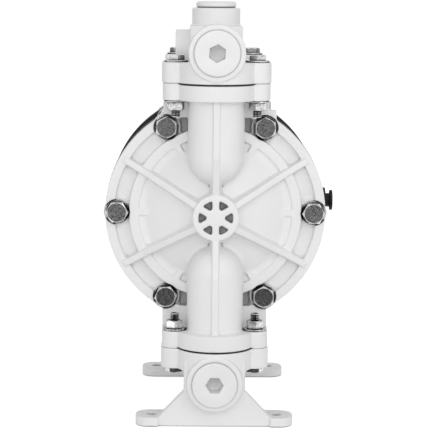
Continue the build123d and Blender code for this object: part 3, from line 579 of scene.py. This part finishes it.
def moulded(node, name, voxel, triangles, wall_side=0):
    """White moulding: a CAD node's shape with soft inner and outer corners."""
    piece = copied(node, name)
    if wall_side:
        piece = joined([piece, *barrel_walls(wall_side)], name)
    skin = piece.modifiers.new("skin", "REMESH")
    skin.mode = "VOXEL"
    skin.voxel_size = voxel
    apply_all(piece)
    cover = node.endswith("fluid_cover")
    if cover:
        raise_hub_pockets(piece)
    soften = piece.modifiers.new("soften", "SMOOTH")
    soften.factor = 0.5
    soften.iterations = SOFTEN_ROUNDS
    apply_all(piece)
    if cover:
        soften_channel_ends(piece)
    thin = piece.modifiers.new("thin", "DECIMATE")
    thin.ratio = min(1.0, triangles / (2 * len(piece.data.polygons)))
    apply_all(piece)
    only(piece)
    bpy.ops.object.shade_smooth()
    stands_for(piece, node, "white_plastic")
    return piece


def edged(node, name, width, finish="black_plastic"):
    """Copy of a CAD node with small rounded edges."""
    piece = copied(node, name)
    edit_all(piece)
    bpy.ops.mesh.dissolve_limited(angle_limit=radians(0.5))
    finish_edit()
    bevelled(piece, width, 35)
    smooth(piece, 32)
    stands_for(piece, node, finish)


def closed_and_outward(piece):
    """Merge doubles and turn every face outwards."""
    edit_all(piece)
    bpy.ops.mesh.remove_doubles(threshold=0.000005)
    bpy.ops.mesh.normals_make_consistent(inside=False)
    finish_edit()


def hexagon_blank(flats, low, high, turn):
    """Hexagonal bar between two heights, its first corner at the given turn."""
    bpy.ops.object.select_all(action="DESELECT")
    bpy.ops.mesh.primitive_cylinder_add(vertices=6, radius=flats / sqrt(3), depth=high - low,
                                        location=(0, 0, (low + high) / 2))
    piece = bpy.context.object
    piece.rotation_euler.z = radians(turn + 30)
    bpy.ops.object.transform_apply(location=True, rotation=True, scale=True)
    return piece


def turned_blank(outline, steps):
    """Closed solid turned about Z from a list of radius and height pairs."""
    bpy.ops.object.select_all(action="DESELECT")
    bpy.ops.mesh.primitive_plane_add(size=0.001)
    piece = bpy.context.object
    edit_all(piece)
    bpy.ops.mesh.delete(type="VERT")
    shape = bmesh.from_edit_mesh(piece.data)
    points = [shape.verts.new((radius, 0, height)) for radius, height in outline]
    for first, second in zip(points, points[1:]):
        shape.edges.new((first, second))
    bmesh.update_edit_mesh(piece.data)
    bpy.ops.mesh.select_all(action="SELECT")
    bpy.ops.mesh.spin(steps=steps, angle=2 * pi, center=(0, 0, 0), axis=(0, 0, 1))
    finish_edit()
    closed_and_outward(piece)
    return piece


def cut_with(piece, tool, kind):
    """Boolean of one solid with another, which is then removed."""
    step = piece.modifiers.new("cut", "BOOLEAN")
    step.operation = kind
    step.solver = "EXACT"
    step.object = tool
    apply_all(piece)
    bpy.data.objects.remove(tool)


def bevelled(piece, width, angle=25):
    """Round the edges of a piece that are sharper than an angle."""
    bevel = piece.modifiers.new("edges", "BEVEL")
    bevel.width = width
    bevel.segments = 2
    bevel.limit_method = "ANGLE"
    bevel.angle_limit = radians(angle)
    apply_all(piece)


def joined(pieces, name):
    """Join several objects into one."""
    bpy.ops.object.select_all(action="DESELECT")
    for piece in pieces:
        piece.select_set(True)
    whole = pieces[0]
    bpy.context.view_layer.objects.active = whole
    if len(pieces) > 1:
        bpy.ops.object.join()
    whole.name = name
    return whole


def placed(master, place):
    """Copy of a modelled piece with its own mesh, set in place."""
    piece = bpy.data.objects.new(master.name + "_copy", master.data.copy())
    bpy.context.scene.collection.objects.link(piece)
    piece.data.transform(place)
    return piece


def turn_about(axis, degrees):
    """Turn about an axis through the origin."""
    return Matrix.Rotation(radians(degrees), 4, axis)


# Fasteners

def thread(radius, low, high, pitch):
    """Threaded end of a bolt: rings of a V profile, closed at both ends."""
    root = radius - THREAD_DEPTH * pitch
    turns = round((high - low) / pitch)
    step = (high - low) / turns
    outline = [(0.0, low)]
    for i in range(turns):
        base = low + i * step
        outline.append((root, base))
        outline += [(radius, base + crest * step) for crest in THREAD_CREST]
    outline += [(root, high), (0.0, high)]
    return turned_blank(outline, THREAD_STEPS)


def shank(radius, overlap, plain, end, pitch):
    """Plain shank that reaches into the head, and the threaded end below it."""
    outline = [(0, overlap), (radius, overlap), (radius, -plain), (0, -plain)]
    return [turned_blank(outline, SHANK_STEPS), thread(radius, end, -plain, pitch)]


def bolt_head(flats, low, height, turn):
    """Hexagon head with chamfered corners and a slightly dished face."""
    head = hexagon_blank(flats, low, low + height, turn)
    corner = flats / sqrt(3) * CORNER_REACH
    rim = flats / 2 * HEAD_RIM
    top = low + height
    drop = (corner - rim) * HEAD_CHAMFER
    dish = HEAD_DISH_DEPTH * height
    outline = [(0, low - DEEP_OVERLAP), (corner, low - DEEP_OVERLAP), (corner, top - drop),
               (rim, top), (rim * HEAD_DISH_RIM, top - dish), (0, top - dish)]
    cut_with(head, turned_blank(outline, HEAD_STEPS), "INTERSECT")
    bevelled(head, flats * HEAD_EDGE)
    return head


def cover_bolt(turn):
    """Cover bolt on its seat plane, with threads at its end."""
    head = bolt_head(COVER_BOLT_FLATS, 0, COVER_BOLT_HEAD, turn)
    rod = shank(COVER_BOLT_RADIUS, SHALLOW_OVERLAP, COVER_BOLT_PLAIN, -COVER_BOLT_LENGTH,
                COVER_BOLT_PITCH)
    return joined([head, *rod], "cover_bolt")


def flange_bolt(seat, turn):
    """Flange bolt along Z: its head starts at the seat, threads at the lower end."""
    grip = MANIFOLD_EAR + COVER_EAR + FLANGE_WASHER_THICKNESS
    end = -grip - FLANGE_NUT_HEIGHT - FLANGE_BOLT_STAND
    head = bolt_head(FLANGE_BOLT_FLATS, seat, FLANGE_BOLT_HEAD, turn)
    rod = shank(FLANGE_BOLT_RADIUS, DEEP_OVERLAP, FLANGE_BOLT_PLAIN, end, FLANGE_BOLT_PITCH)
    return joined([head, *rod], "flange_bolt")


def washer(radius, hole, thickness):
    """Stamped flat washer with rounded edges."""
    edge = WASHER_ROUND
    outline = [(hole, 0), (radius - edge, 0), (radius, edge), (radius, thickness - edge),
               (radius - edge, thickness), (hole + edge, thickness), (hole, thickness - edge),
               (hole, 0)]
    piece = turned_blank(outline, HEAD_STEPS)
    bevelled(piece, WASHER_EDGE)
    return piece


def nut(flats, hole, height, turn):
    """Hexagon nut with chamfered corners on both sides and a countersunk hole."""
    body = hexagon_blank(flats, 0, height, turn)
    corner = flats / sqrt(3) * CORNER_REACH
    rim = flats / 2 * NUT_RIM
    drop = (corner - rim) * NUT_CHAMFER
    outline = [(0, -0.0001), (rim, 0), (corner, drop), (corner, height - drop),
               (rim, height), (0, height + 0.0001)]
    cut_with(body, turned_blank(outline, HEAD_STEPS), "INTERSECT")
    mouth = hole + NUT_SINK + DEEP_OVERLAP
    bore = [(0, -DEEP_OVERLAP), (mouth, -DEEP_OVERLAP), (hole, NUT_SINK),
            (hole, height - NUT_SINK), (mouth, height + DEEP_OVERLAP), (0, height + DEEP_OVERLAP)]
    cut_with(body, turned_blank(bore, BORE_STEPS), "DIFFERENCE")
    bevelled(body, flats * NUT_EDGE)
    return body


def fastener_set(pieces, node, name):
    """Join the copies that stand for one CAD node."""
    whole = joined(pieces, name)
    smooth(whole, 35)
    flat = whole.modifiers.new("flat", "WEIGHTED_NORMAL")
    flat.keep_sharp = True
    apply_all(whole)
    stands_for(whole, node, "plated_steel")


def make_cover_fasteners():
    """Bolts, washers and nuts of both covers."""
    bolts = {turn: cover_bolt(turn) for turn in sorted(set(COVER_BOLT_TURNS))}
    hole = COVER_BOLT_RADIUS + HOLE_PLAY
    gauge = COVER_WASHER_THICKNESS
    disc = washer(COVER_WASHER_RADIUS, hole, gauge)
    lock = nut(COVER_BOLT_FLATS, hole, COVER_NUT_HEIGHT, 0)
    for side, local in (("front", FRONT), ("rear", REAR)):
        bolt_copies, washer_copies, nut_copies = [], [], []
        for angle, turn in zip(COVER_BOLT_ANGLES, COVER_BOLT_TURNS):
            x = BOLT_CIRCLE * cos(radians(angle))
            y = BOLT_CIRCLE * sin(radians(angle))
            seat = local @ Matrix.Translation((x, y, BOSS_OUT))
            back = local @ Matrix.Translation((x, y, CHAMBER_BACK - gauge))
            bolt_copies.append(placed(bolts[turn], seat @ Matrix.Translation((0, 0, gauge))))
            washer_copies.append(placed(disc, seat))
            washer_copies.append(placed(disc, back))
            nut_copies.append(placed(lock, back @ turn_about("X", 180)))
        fastener_set(bolt_copies, side + "_cover_bolts", side + "_cover_bolt_set")
        fastener_set(washer_copies, side + "_cover_washers", side + "_cover_washer_set")
        fastener_set(nut_copies, side + "_cover_nuts", side + "_cover_nut_set")
    for master in list(bolts.values()) + [disc, lock]:
        bpy.data.objects.remove(master)


def make_flange_fasteners():
    """Bolts, washers and nuts of both manifolds."""
    hole = FLANGE_BOLT_RADIUS + HOLE_PLAY
    gauge = FLANGE_WASHER_THICKNESS
    disc = washer(FLANGE_WASHER_RADIUS, hole, gauge)
    grip = MANIFOLD_EAR + COVER_EAR
    places = (-FLANGE_BOLT_SPACING / 2, FLANGE_BOLT_SPACING / 2)
    for service, sign in (("discharge", 1), ("suction", -1)):
        bolt_copies, washer_copies, nut_copies = [], [], []
        for side, local in (("front", FRONT), ("rear", REAR)):
            head_turns = HEAD_TURNS[service] if side == "front" else (0, 0)
            for x, head_turn, nut_turn in zip(places, head_turns, NUT_TURNS[service]):
                level = sign * (SEAM_RISE + MANIFOLD_EAR)
                place = local @ Matrix.Translation((x, level, FLANGE_LINE))
                place = place @ turn_about("X", -90 * sign)
                under = place @ Matrix.Translation((0, 0, -grip - gauge))
                bolt = flange_bolt(gauge if sign > 0 else 0, head_turn)
                lock = nut(FLANGE_BOLT_FLATS, hole, FLANGE_NUT_HEIGHT, nut_turn)
                bolt_copies.append(placed(bolt, place))
                washer_copies.append(placed(disc, under))
                if sign > 0:
                    washer_copies.append(placed(disc, place))
                nut_copies.append(placed(lock, under @ turn_about("X", 180)))
                bpy.data.objects.remove(bolt)
                bpy.data.objects.remove(lock)
        fastener_set(bolt_copies, service + "_bolts", service + "_bolt_set")
        fastener_set(washer_copies, service + "_washers", service + "_washer_set")
        fastener_set(nut_copies, service + "_nuts", service + "_nut_set")
    bpy.data.objects.remove(disc)


# Pieces of the pump

def cut_foot_holes(piece):
    """Crisp bolt holes through the foot pads."""
    bpy.ops.object.select_all(action="DESELECT")
    tools = []
    for x in (-FOOT_SPACING_X / 2, FOOT_SPACING_X / 2):
        for y in (-FOOT_SPACING_Y / 2, FOOT_SPACING_Y / 2):
            bpy.ops.mesh.primitive_cylinder_add(vertices=40, radius=FOOT_HOLE, depth=0.03,
                                                location=(x, y, 0))
            tools.append(bpy.context.object)
    tool = joined(tools, "hole_tools")
    bpy.ops.object.transform_apply(location=True, rotation=True, scale=True)
    cut_with(piece, tool, "DIFFERENCE")


def make_housings():
    """White mouldings with soft corners, and the black sections with small rounded edges."""
    for side in ("front", "rear"):
        moulded(side + "_fluid_cover", side + "_cover_moulding", COVER_VOXEL, COVER_TRIANGLES)
    moulded("discharge_manifold", "discharge_manifold_moulding", MANIFOLD_VOXEL,
            MANIFOLD_TRIANGLES, 1)
    suction = moulded("suction_manifold", "suction_manifold_moulding", MANIFOLD_VOXEL,
                      MANIFOLD_TRIANGLES, -1)
    cut_foot_holes(suction)
    for side in ("front", "rear"):
        edged(side + "_air_chamber", side + "_air_chamber_moulding", CHAMBER_EDGE)
    edged("centre_body", "centre_section_moulding", CENTRE_EDGE)
    edged("valve_body", "air_valve_moulding", VALVE_EDGE)
    for place in ("upper", "lower"):
        edged(place + "_valve_cap", place + "_air_valve_cap", VALVE_EDGE)
    edged("exhaust_silencer", "silencer_moulding", SILENCER_EDGE)
    for side in ("front", "rear"):
        for service in ("discharge", "suction"):
            plug = side + "_" + service + "_plug"
            edged(plug, plug + "_moulding", PLUG_EDGE, "plug_plastic")


def make_flexing_diaphragms():
    """Diaphragms cut into sectors, which take the place of the hidden CAD nodes."""
    centre = Vector((0, 0, AXIS_HEIGHT))
    for node in ("front_diaphragm", "rear_diaphragm"):
        for count in range(DIAPHRAGM_SECTORS):
            piece = copied(node, f"{node}_sector_{count + 1}")
            middle = 2 * pi * count / DIAPHRAGM_SECTORS
            for side in (-1, 1):
                edge = middle + side * pi / DIAPHRAGM_SECTORS
                edit_all(piece)
                bpy.ops.mesh.bisect(plane_co=centre,
                                    plane_no=(-side * sin(edge), 0, side * cos(edge)),
                                    clear_outer=True, use_fill=True)
                finish_edit()
            smooth(piece, 32)
            dress(piece, "black_rubber")
            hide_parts(node)
            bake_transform(piece)


def finish_cad_nodes():
    """Every CAD node gets the finish of its slot."""
    for part in frame["record"]["subparts"]:
        dress(nodes[part["node"]], part["material_slot"])


# Floor, light and camera

def white_rays(tree):
    """1 for the rays that see the surroundings as white, and 0 for the light on the pump."""
    rays = tree.nodes.new("ShaderNodeLightPath").outputs
    seen = arithmetic(tree, "MAXIMUM", rays["Is Camera Ray"], rays["Is Glossy Ray"])
    return arithmetic(tree, "MAXIMUM", seen, rays["Is Transmission Ray"])


def backdrop_material():
    """Pale surface that the camera and reflections see as white, and that keeps shadows."""
    made = bpy.data.materials.new("studio_floor")
    made.use_nodes = True
    tree = made.node_tree
    tree.nodes.clear()
    out = tree.nodes.new("ShaderNodeOutputMaterial")
    paint = tree.nodes.new("ShaderNodeBsdfDiffuse")
    paint.inputs["Color"].default_value = grey(FLOOR_COLOUR)
    glow = tree.nodes.new("ShaderNodeEmission")
    glow.inputs["Color"].default_value = grey(1.0)
    strength = arithmetic(tree, "MULTIPLY", white_rays(tree), FLOOR_GLOW)
    tree.links.new(strength, glow.inputs["Strength"])
    both = tree.nodes.new("ShaderNodeAddShader")
    tree.links.new(paint.outputs[0], both.inputs[0])
    tree.links.new(glow.outputs[0], both.inputs[1])
    tree.links.new(both.outputs[0], out.inputs["Surface"])
    return made


def make_floor():
    """Plain pale floor."""
    bpy.ops.object.select_all(action="DESELECT")
    bpy.ops.mesh.primitive_grid_add(x_subdivisions=4, y_subdivisions=4, size=FLOOR_SIZE,
                                    location=(0, 0, -FLOOR_DROP))
    floor = bpy.context.object
    floor.name = "studio_floor"
    bpy.ops.object.transform_apply(location=True, rotation=True, scale=True)
    floor.data.materials.append(backdrop_material())


def make_world():
    """Even pale surroundings, white where the camera and reflections see them."""
    world = bpy.data.worlds.new("studio")
    bpy.context.scene.world = world
    world.use_nodes = True
    tree = world.node_tree
    tree.nodes.clear()
    out = tree.nodes.new("ShaderNodeOutputWorld")
    sky = tree.nodes.new("ShaderNodeBackground")
    sky.inputs["Color"].default_value = grey(1.0)
    strength = spread(tree, white_rays(tree), 0.0, 1.0, WORLD_LIGHT, 1.0)
    tree.links.new(strength, sky.inputs["Strength"])
    tree.links.new(sky.outputs[0], out.inputs["Surface"])


def soft_box(name, place, side, power):
    """Large square soft lamp pointed at the pump."""
    bpy.ops.object.select_all(action="DESELECT")
    bpy.ops.object.light_add(type="AREA", location=place)
    lamp = bpy.context.object
    lamp.name = name
    lamp.data.shape = "RECTANGLE"
    lamp.data.size = side
    lamp.data.size_y = side
    lamp.data.energy = power
    lamp.rotation_euler = (Vector(LAMP_AIM) - Vector(place)).to_track_quat("-Z", "Y").to_euler()


def make_dark_cards():
    """Dark cards low in front of the pump and beside it, which only reflections see."""
    paint = bpy.data.materials.new("studio_dark_card")
    paint.use_nodes = True
    shader = paint.node_tree.nodes["Principled BSDF"]
    shader.inputs["Base Color"].default_value = grey(CARD_COLOUR)
    shader.inputs["Roughness"].default_value = 0.9
    near, far = Vector(CARD_NEAR), Vector(CARD_FAR)
    slope = far - near
    tilt = slope.to_track_quat("Y", "Z").to_euler().x
    cards = [((near + far) / 2, (tilt, 0, pi), (CARD_WIDTH, slope.length, 1))]
    for x in (-SIDE_CARD_REACH, SIDE_CARD_REACH):
        place = Vector((x, SIDE_CARD_MIDDLE, SIDE_CARD_HEIGHT))
        cards.append((place, (0, pi / 2, 0), (SIDE_CARD_TALL, SIDE_CARD_WIDTH, 1)))
    for place, turn, size in cards:
        bpy.ops.object.select_all(action="DESELECT")
        bpy.ops.mesh.primitive_grid_add(x_subdivisions=2, y_subdivisions=2, size=1.0)
        card = bpy.context.object
        card.name = "studio_dark_card"
        card.scale = size
        card.rotation_euler = turn
        card.location = place
        bpy.ops.object.transform_apply(location=True, rotation=True, scale=True)
        card.data.materials.append(paint)
        card.visible_camera = False
        card.visible_diffuse = False
        card.visible_shadow = False
        card.visible_transmission = False


def make_camera():
    """Camera at the photograph's viewing angle."""
    level = cos(CAMERA_PITCH)
    ahead = Vector((sin(CAMERA_YAW) * level, cos(CAMERA_YAW) * level, -sin(CAMERA_PITCH)))
    right = Vector((cos(CAMERA_YAW), -sin(CAMERA_YAW), 0))
    up = right.cross(ahead)
    rolled_right = right * cos(CAMERA_ROLL) + up * sin(CAMERA_ROLL)
    rolled_up = up * cos(CAMERA_ROLL) - right * sin(CAMERA_ROLL)
    data = bpy.data.cameras.new("photo_camera")
    data.lens = CAMERA_LENS
    data.sensor_width = CAMERA_SENSOR
    data.sensor_fit = "AUTO"
    data.clip_start = 0.01
    camera = bpy.data.objects.new("photo_camera", data)
    bpy.context.scene.collection.objects.link(camera)
    turn = Matrix((rolled_right, rolled_up, -ahead)).transposed()
    camera.matrix_world = Matrix.Translation(CAMERA_PLACE) @ turn.to_4x4()
    bpy.context.scene.camera = camera


finish_cad_nodes()
make_housings()
make_cover_fasteners()
make_flange_fasteners()
make_flexing_diaphragms()
make_floor()
make_world()
make_dark_cards()
soft_box("key_soft_box", (0.8, -1.4, 1.0), 0.9, 3.4)
soft_box("front_soft_box", (-0.1, -1.7, 0.5), 1.0, 7.2)
make_camera()
bpy.context.scene.view_settings.view_transform = "Standard"
